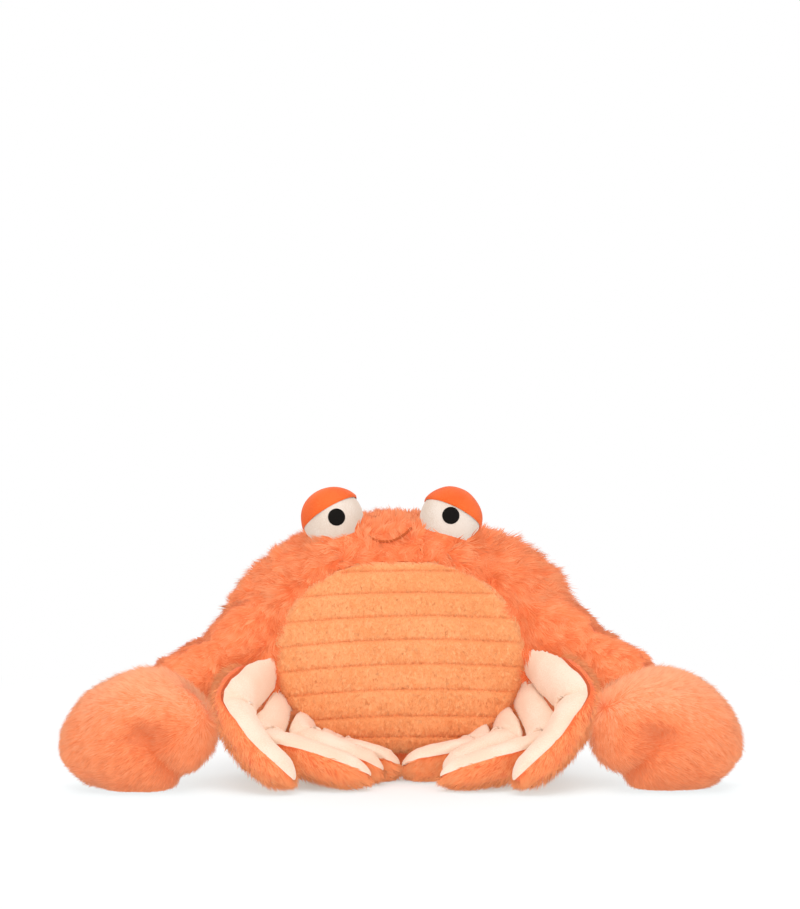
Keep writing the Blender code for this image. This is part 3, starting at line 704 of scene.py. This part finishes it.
# Painted shade for a claw, deep in the dimple and the slit and below, and painted light that makes it pale on
# top
def clawShade(side, middle):
    front, inward, upright = clawWays(side)

    def shade(roots):
        local = roots - middle
        flat = np.stack([local @ inward / claw["width"], local @ upright / claw["height"]], -1) * 2
        far = np.linalg.norm(flat, axis=-1)
        away = slitAway(np.arctan2(flat[:, 1], flat[:, 0])) * far
        inSlit = np.exp(-((away / clawPaintedShadeAndLight["slitSpread"]) ** 2)) * smooth(far, 0.02, 0.2)
        inPit = np.exp(-((pitAway(flat[:, 0], flat[:, 1]) / clawPaintedShadeAndLight["dimpleSize"]) ** 2))
        deep = clawPaintedShadeAndLight["dimple"] * np.maximum(inPit, clawPaintedShadeAndLight["slit"] * inSlit) * (local @ front > 0)
        high = smooth(local[:, 2], 0, 32 * mm) - clawPaintedShadeAndLight["bottom"] * smooth(-local[:, 2], 0, 30 * mm)
        return deep - clawPaintedShadeAndLight["top"] * high

    return shade


def buildArm(name, arm):
    start, elbow, wrist, clawMid = armPoints(arm)
    side = arm["side"]

    def growArm(part, form, pile, comb, material, shade, keep=None, fill=0.7):
        addBacking(f"{name}_{part}_backing", form, fill, f"{name}_{part}_cover", f"{name}_{part}_filling")
        growPile(f"{name}_{part}_fur", form, pile, comb, material, shade=shade, keep=keep)

    form = tubeForm(start, elbow, upperArm["rows"], armFur["inset"], 31 + side)
    shade = undersideShade(start, elbow)
    growArm("upper_arm", form, armFur, combAlong(elbow - start), longFur, shade, clearOfBody)

    form = tubeForm(elbow, wrist, forearm["rows"], forearmFur["inset"], 32 + side)
    shade = undersideShade(elbow, wrist)
    growArm("forearm", form, forearmFur, combAlong(wrist - elbow), longFur, shade)

    # outward and a little down, as the pile lies from the wrist to the tip
    form = clawForm(side, clawMid, clawFur["inset"])
    comb = combAlong(np.array(clawFur["comb"]) * [side, 1, 1])
    growArm("claw", form, clawFur, comb, smoothFur, clawShade(side, clawMid), fill=0.8)


# Whether a hair stands outside the body's own backing
def clearOfBody(roots, middles, tips):
    x, y, z = (roots - bodyMid).T
    inset = bodyFur["inset"]
    share = (x / (body["width"] / 2 - inset)) ** 2 + (z / halfHeight(z, inset)) ** 2
    behind = (body["back"] - inset) * np.sqrt(np.maximum(0, 1 - share))
    return (share > 1) | (y < bodyFront(x, z, inset)) | (y > behind)


# Legs: angle of the root round the belly seam, then the knee's way out, forward and
# height, the shin's height, and the tip's way in and forward from the knee
legs = {
    "left": [
        (184, 0.0175, 0.036, 0.043, 0.0235, 0.034, 0.032), (202, 0.009, 0.035, 0.024, 0.0180, 0.060, 0.020),
        (216, -0.001, 0.019, 0.022, 0.0170, 0.045, 0.017), (229, -0.006, 0.014, 0.016, 0.0130, 0.036, 0.006),
    ],
    "right": [
        (1, 0.0235, 0.036, 0.046, 0.0250, 0.036, 0.033), (-16, 0.012, 0.035, 0.023, 0.0160, 0.060, 0.021),
        (-31, 0.001, 0.019, 0.022, 0.0170, 0.037, 0.015), (-44, -0.004, 0.014, 0.016, 0.0130, 0.042, 0.006),
    ],
}
# Faces are the cream side's way inward, to the back and up, above and below the knee.
# Rows are share of the way, then shares of the full width and depth.
leg = {
    "width": 0.0235, "creamDepth": 0.0088, "furDepth": 0.0118, "seamOffset": 0.003, "rootDepth": 0.014,
    "kneeRound": 0.010, "kneeTurn": 0.030, "kneeBand": 2.5 * mm, "tipHeight": 0.0080, "tipRound": 0.17,
    "shinSpread": 0.004, "upperFace": (0.57, -0.82, -0.03), "lowerFace": (0.10, 0.20, 0.97),
    "firstLowerFace": (0.60, 0.05, 0.80),
    "upperRows": ((0.00, 0.95, 0.90), (0.36, 1.08, 1.04), (0.70, 1.08, 1.04), (1.00, 1.00, 0.86)),
    "lowerRows": ((0.28, 0.98, 0.98), (0.58, 0.94, 0.95), (0.87, 0.80, 0.82)),
    "pleat": 1.7 * mm, "pleatWidth": 0.8 * mm, "rim": 3.4 * mm, "wrinkle": 0.22 * mm, "pucker": 0.12 * mm,
    "creamAngles": (9, 171), "furAngles": (166, 374),
}
legFur = {
    "count": 8500, "inset": 1.0 * mm, "length": 6.4 * mm, "uneven": 0.25, "lift": 0.48, "bend": 0.35,
    "stray": 0.16, "lock": 10, "gather": 0.3, "width": 0.5 * mm, "tones": 0.6, "relief": 0.12,
    "swirl": 0.2, "swirlSize": 20 * mm, "fromCream": 0.3, "overCream": 0.8 * mm,
}


def legRoute(measures, side):
    degrees, out, forward, kneeHeight, shinHeight, inward, onward = measures
    across, up = math.cos(math.radians(degrees)), math.sin(math.radians(degrees))
    reach = 1 / bellyLength(across, up)
    x, z = (reach + leg["seamOffset"]) * across, (reach + leg["seamOffset"]) * up
    surface = float(bodyFront(x, z, 0))
    root = bodyMid + [x, surface + leg["rootDepth"], z]
    knee = np.array([root[0] + side * out, bodyMid[1] + surface - forward, kneeHeight])
    tip = np.array([knee[0] - side * inward, knee[1] - onward, leg["tipHeight"]])
    shin = (knee + tip) / 2 + [side * leg["shinSpread"], 0, 0]
    shin[2] = shinHeight
    return np.array([root, knee, shin, tip])


def wayPoints(route, distances):
    steps = np.linalg.norm(np.diff(route, axis=0), axis=1)
    places = np.concatenate([[0], np.cumsum(steps)])
    return np.stack([np.interp(distances, places, route[:, k]) for k in range(3)], -1)


def softPoints(route, distances, length):
    reach = np.clip(np.minimum(distances, length - distances), 0, leg["kneeRound"])
    before, after = wayPoints(route, distances - reach), wayPoints(route, distances + reach)
    return (before + after + 2 * wayPoints(route, distances)) / 4


# Shortens the ways out from a leg's middle line where a neighbour presses on it
def pressed(centres, out, others, reaches, inset):
    away = others[None] - centres[:, None]
    distance = np.linalg.norm(away, axis=-1)
    towards = np.einsum("rck,rok->rco", out, away / distance[..., None])
    room = np.where(reaches > 0, distance - reaches, distance / 2) - 0.5 * mm - inset
    share = np.where(towards > 1e-9, room[:, None] / np.maximum(towards, 1e-9), 9)
    return out * np.clip(share.min(-1), 0.25, 1)[..., None]


def legGrid(route, side, number, others, reaches, inset, angles, rows=46, kneeRows=12):
    lengths = np.linalg.norm(np.diff(route, axis=0), axis=1)
    upper, lower = lengths[0], lengths[1:].sum()
    length = upper + lower
    stations = [(share * upper, wide, deep) for share, wide, deep in leg["upperRows"]]
    stations += [(upper + share * lower, wide, deep) for share, wide, deep in leg["lowerRows"]]
    places, wides, deeps = zip(*stations)

    # rows crowd towards the tip and at the knee
    even = length * (1 - (1 - np.linspace(0, 1, rows)) ** 1.35)
    atKnee = upper + np.linspace(-leg["kneeBand"], leg["kneeBand"], kneeRows)
    distances = np.sort(np.concatenate([even, atKnee]))
    wide, deep = (evened(np.interp(distances, places, sizes), 4) for sizes in (wides, deeps))
    roundTip = np.sqrt(np.clip((length - distances) / (leg["tipRound"] * lower), 0, 1))
    pastMiddle = distances / length > 0.5
    wide, deep = wide * np.where(pastMiddle, roundTip, 1), deep * np.where(pastMiddle, roundTip, 1)

    centres = softPoints(route, distances, length)
    along = unit(np.gradient(centres, axis=0))
    for _ in range(3):
        along[1:-1] = unit(along[:-2] + along[1:-1] + along[2:])
    centres = centres - along * (inset * smooth(distances / length, 0.7, 1))[:, None]
    inward = np.array([-side, 1, 1])
    above = unit(inward * leg["upperFace"])
    below = unit(inward * leg["firstLowerFace" if number == 1 else "lowerFace"])
    blend = np.clip((distances - upper) / leg["kneeTurn"] + 0.5, 0, 1)[:, None]
    face = unit(above * (1 - blend) + below * blend)
    face = unit(face - along * (face * along).sum(-1, keepdims=True))
    across = np.cross(along, face)

    radians = np.radians(angles)[None]
    rim = leg["rim"] * roundTip if inset else 0  # the fur side shows round the cream
    halfWide = np.maximum(wide * leg["width"] / 2 - inset + rim, 0)[:, None]
    full = np.where(np.sin(radians) > 0, leg["creamDepth"], leg["furDepth"])
    halfDeep = np.maximum(deep[:, None] * full - inset, 0)
    sideways = across[:, None] * (halfWide * np.cos(radians))[..., None]
    outward = face[:, None] * (halfDeep * np.sin(radians))[..., None]
    grid = centres[:, None] + pressed(centres, sideways + outward, others, reaches, inset)
    grid[..., 2] = np.maximum(grid[..., 2], 0.5 * mm + inset * 0.5)
    return grid, distances - upper, face


# A point behind half a leg's grid, to tell its outside from its inside
def behindHalf(grid):
    middle = grid[:, grid.shape[1] // 2] - (grid[:, 0] + grid[:, -1]) / 2
    return grid.reshape(-1, 3).mean(0) - middle.mean(0) * 1.5


def buildLeg(name, side, number, route, others, reaches):
    # cream face, puckered along its seams and pleated at the knee
    angles = np.linspace(*leg["creamAngles"], 30)
    grid, pastKnee, _ = legGrid(route, side, number, others, reaches, 0, angles)
    normals = makeForm(grid, False, behindHalf(grid))["normals"].reshape(grid.shape)
    bulge = np.sin(np.radians(angles))[None]
    pleat = np.exp(-((pastKnee / leg["pleatWidth"]) ** 2))[:, None] * bulge**0.5
    nearKnee = 1 + 1.2 * np.exp(-((pastKnee / (9 * mm)) ** 2))[:, None]
    relief = lumps(grid, 15 * mm, 50 + number) * leg["wrinkle"]
    relief = relief + lumps(grid, 6.5 * mm, 60 + number) * leg["pucker"] * nearKnee
    grid = grid + normals * (relief - leg["pleat"] * pleat)[..., None]
    grid[..., 2] = np.maximum(grid[..., 2], 0.6 * mm)
    form = makeForm(grid, False, behindHalf(grid))
    cream = addMesh(f"{name}_cream_face", form["points"], form["faces"], suedette)
    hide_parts(f"{name}_cream_panel", f"{name}_filling")

    angles = np.linspace(*leg["furAngles"], 28)
    grid, _, face = legGrid(route, side, number, others, reaches, legFur["inset"], angles)
    form = makeForm(grid, False, behindHalf(grid))
    addBacking(f"{name}_fur_backing", form, 0.6, f"{name}_fur_panel")
    centres = (grid[:, 0] + grid[:, -1]) / 2
    steps = unit(np.gradient(centres, axis=0))

    def nearest(points):
        return np.linalg.norm(points[:, None] - centres[None], axis=-1).argmin(1)

    # along the leg to its tip, and away from the cream face
    def legComb(roots):
        place = nearest(roots)
        return steps[place] - face[place] * legFur["fromCream"]

    def clearOfCream(roots, middles, tips):
        place = nearest(tips)
        over = ((tips - centres[place]) * face[place]).sum(-1)
        return clearOfBody(roots, middles, tips) & (over < legFur["overCream"])

    growPile(f"{name}_fur", form, legFur, legComb, shortFur, keep=clearOfCream)


# Each leg is pressed by the legs beside it, and the first by the arm over it
def buildLegs():
    names = [f"left_leg_{k}" for k in (1, 2, 3, 4)] + [f"right_leg_{k}" for k in (4, 3, 2, 1)]
    sides = [-1] * 4 + [1] * 4
    routes = [legRoute(values, side) for values, side in zip(legs["left"] + legs["right"][::-1], sides)]
    for index, (name, side, route) in enumerate(zip(names, sides, routes)):
        others, reaches = [], []
        for beside in (index - 1, index + 1):
            if 0 <= beside < len(routes):
                length = np.linalg.norm(np.diff(routes[beside], axis=0), axis=1).sum()
                others.append(wayPoints(routes[beside], np.linspace(0, length, 40)))
                reaches.append(np.zeros(40))
            else:
                points = armPoints(arms["left" if side < 0 else "right"])
                for start, end, size in ((points[0], points[1], 38 * mm), (points[1], points[2], 32 * mm)):
                    others.append(start + (end - start) * np.linspace(0, 1, 30)[:, None])
                    reaches.append(np.full(30, size / 2))
        buildLeg(name, side, int(name[-1]), route, np.concatenate(others), np.concatenate(reaches))


# Eyes: felt balls, a cloth lid over the top of each, a satin stitched pupil.
# The lid is a cap round its own pole, with its reach from there in degrees.
eyes = {
    "left": {"mid": eyeMids[0], "gaze": (0.135, -0.985, 0.115), "lid": (-0.516, 0.25, 0.819), "reach": 78.7},
    "right": {"mid": eyeMids[1], "gaze": (0.010, -0.985, 0.170), "lid": (0.429, 0.31, 0.849), "reach": 80.5},
}


def capGrid(mid, pole, radius, low, high, rows, columns):
    pole = unit(pole)
    side = unit(np.cross(pole, (0.31, 0.17, 0.93)))
    other = np.cross(pole, side)
    slope = np.radians(np.linspace(low, high, rows))[:, None, None]
    turn = np.linspace(0, 2 * math.pi, columns, endpoint=False)[None, :, None]
    out = side * np.cos(turn) + other * np.sin(turn)
    radius = np.broadcast_to(radius, rows)[:, None, None]
    return mid + radius * (pole * np.cos(slope) + out * np.sin(slope))


def buildEye(name, values):
    mid, ball = values["mid"], eye["size"] / 2
    grid = capGrid(mid, values["lid"], ball, 0, 180, 44, 72)
    grid = grid + unit(grid - mid) * (lumps(grid, 20 * mm, 71) * 0.15 * mm)[..., None]
    form = makeForm(grid, True, mid)
    white = addMesh(f"{name}_eye_white", form["points"], form["faces"], eyeFelt)
    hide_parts(f"{name}_eyeball")

    # the lid's edge is turned under, so its last rows roll down to the ball
    rows = 40
    over = 0.3 * mm + 0.9 * mm * np.sqrt(np.clip((1 - np.linspace(0, 1, rows)) / 0.05, 0, 1))
    grid = capGrid(mid, values["lid"], ball + over, 0, values["reach"], rows, 84)
    grid = grid + unit(grid - mid) * (lumps(grid, 15 * mm, 73) * 0.22 * mm)[..., None]
    form = makeForm(grid, True, mid)
    lid = addMesh(f"{name}_eye_lid", form["points"], form["faces"], lidFelt)
    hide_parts(f"{name}_eyelid")

    # the stitching stands up in the middle and falls to the felt at its edge
    rows = 14
    reach = math.degrees(math.asin(eye["pupil"] / eye["size"]))
    over = 0.25 * mm + 0.5 * mm * np.sqrt(np.clip((1 - np.linspace(0, 1, rows)) / 0.35, 0, 1))
    form = makeForm(capGrid(mid, values["gaze"], ball + over, 0, reach, rows, 48), True, mid)
    pupil = addMesh(f"{name}_eye_pupil", form["points"], form["faces"], pupilThread)
    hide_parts(f"{name}_pupil")


# One thread along the mouth, its ends tucked into the fur
def buildMouth():
    share = np.linspace(-1, 1, 60)
    centres = mouthPoint(share, mouth["sink"] + mouth["tuck"] * np.abs(share) ** 8)
    along = unit(np.gradient(centres, axis=0))
    outward = unit(centres - bodyMid)
    side = unit(np.cross(along, outward))
    turn = np.linspace(0, 2 * math.pi, 10, endpoint=False)[None, :, None]
    size = mouth["thread"] * (0.85 + 0.15 * np.cos(share * 40))[:, None, None]
    grid = centres[:, None] + size * (outward[:, None] * np.cos(turn) + side[:, None] * np.sin(turn))
    form = makeForm(grid, True)
    stitch = addMesh("mouth_thread_line", form["points"], form["faces"], mouthThread)
    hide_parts("mouth_stitch")


buildBodyCover()
print("body done")
buildBelly()
print("belly done")
for name, arm in arms.items():
    buildArm(name, arm)
print("arms done")
buildLegs()
print("legs done")
for name, values in eyes.items():
    buildEye(name, values)
buildMouth()
print("face done")


# Studio: a pale floor that turns white away from the crab, a white backdrop, and soft
# light from above, both sides, in front and behind. The camera stands where the
# photograph was taken from; row, middleRow and pixels are in the photograph's frame.
studio = {
    "floor": 1.6, "floorTone": (0.89, 0.91, 0.915, 1), "whiteFrom": 0.24, "whiteTo": 0.55, "world": 0.8,
    "camera": 1.6126, "height": 0.22835, "lens": 113.05, "elevation": 5.5, "row": 638.0, "middleRow": 454.5,
    "pixels": 1784, "distance": 1.6,
}
lamps = {  # place, target, size and power
    "overhead softbox": ((0.0, -0.15, 1.5), (0, 0, 0.05), 1.2, 5.2),
    "left front softbox": ((-1.0, -1.25, 0.6), (0, 0, 0.08), 0.9, 4.7),
    "right front softbox": ((1.1, -1.2, 0.55), (0, 0, 0.08), 0.9, 4.4),
    "low front softbox": ((0.0, -1.6, 0.3), (0, 0, 0.06), 0.9, 3),
    "rear softbox": ((0.0, 1.4, 0.9), (0, 0, 0.08), 1.0, 5),
}


def addFloor():
    mesh = bpy.data.meshes.new("studio_floor")
    s = studio["floor"]
    mesh.from_pydata([(-s, -s, 0), (s, -s, 0), (s, s, 0), (-s, s, 0)], [], [(0, 1, 2, 3)])
    material, tree, shader = newMaterial("pale studio floor", 1.0)
    shader.inputs["Base Color"].default_value = studio["floorTone"]
    shader.inputs["Specular IOR Level"].default_value = 0
    place = addNode(tree, "ShaderNodeTexCoord").outputs["Object"]
    far = addNode(tree, "ShaderNodeVectorMath", {"operation": "LENGTH"}, {0: place}).outputs["Value"]
    ring = {"From Min": studio["whiteFrom"], "From Max": studio["whiteTo"], "interpolation_type": "SMOOTHSTEP"}
    fade = addNode(tree, "ShaderNodeMapRange", ring, {"Value": far}).outputs["Result"]
    white = addNode(tree, "ShaderNodeEmission", {"Strength": 1.0}).outputs["Emission"]
    mix = addNode(tree, "ShaderNodeMixShader", links={0: fade, 1: shader.outputs["BSDF"], 2: white})
    tree.links.new(mix.outputs["Shader"], tree.nodes["Material Output"].inputs["Surface"])
    mesh.materials.append(material)
    floor = bpy.data.objects.new("studio_floor", mesh)
    bpy.context.collection.objects.link(floor)


def addWorld():
    world = bpy.data.worlds.new("studio")
    bpy.context.scene.world = world
    world.use_nodes = True
    tree = world.node_tree
    light = tree.nodes["Background"]
    light.inputs["Color"].default_value = (1, 1, 1, 1)
    light.inputs["Strength"].default_value = studio["world"]
    seen = addNode(tree, "ShaderNodeBackground", {"Color": (1, 1, 1, 1), "Strength": 1.0})
    ray = addNode(tree, "ShaderNodeLightPath").outputs["Is Camera Ray"]
    views = {0: ray, 1: light.outputs["Background"], 2: seen.outputs["Background"]}
    mix = addNode(tree, "ShaderNodeMixShader", links=views)
    tree.links.new(mix.outputs["Shader"], tree.nodes["World Output"].inputs["Surface"])


def addLight(name, place, target, size, power):
    data = bpy.data.lights.new(name, "AREA")
    data.shape = "DISK"
    data.size = size
    data.energy = power
    obj = bpy.data.objects.new(name, data)
    obj.location = place
    obj.rotation_euler = (Vector(target) - Vector(place)).to_track_quat("-Z", "Y").to_euler()
    bpy.context.collection.objects.link(obj)


def addCamera():
    data = bpy.data.cameras.new("camera")
    data.lens = studio["lens"]
    obj = bpy.data.objects.new("camera", data)
    above = math.atan((studio["row"] - studio["middleRow"]) / (studio["pixels"] * studio["distance"]))
    obj.location = (bodyMid[0], bodyMid[1] - studio["camera"], studio["height"])
    obj.rotation_euler = (math.pi / 2 - math.radians(studio["elevation"]) + above, 0, 0)
    bpy.context.collection.objects.link(obj)
    bpy.context.scene.camera = obj


addFloor()
addWorld()
for name, values in lamps.items():
    addLight(name, *values)
addCamera()
bpy.context.scene.view_settings.view_transform = "Standard"
print("studio done")
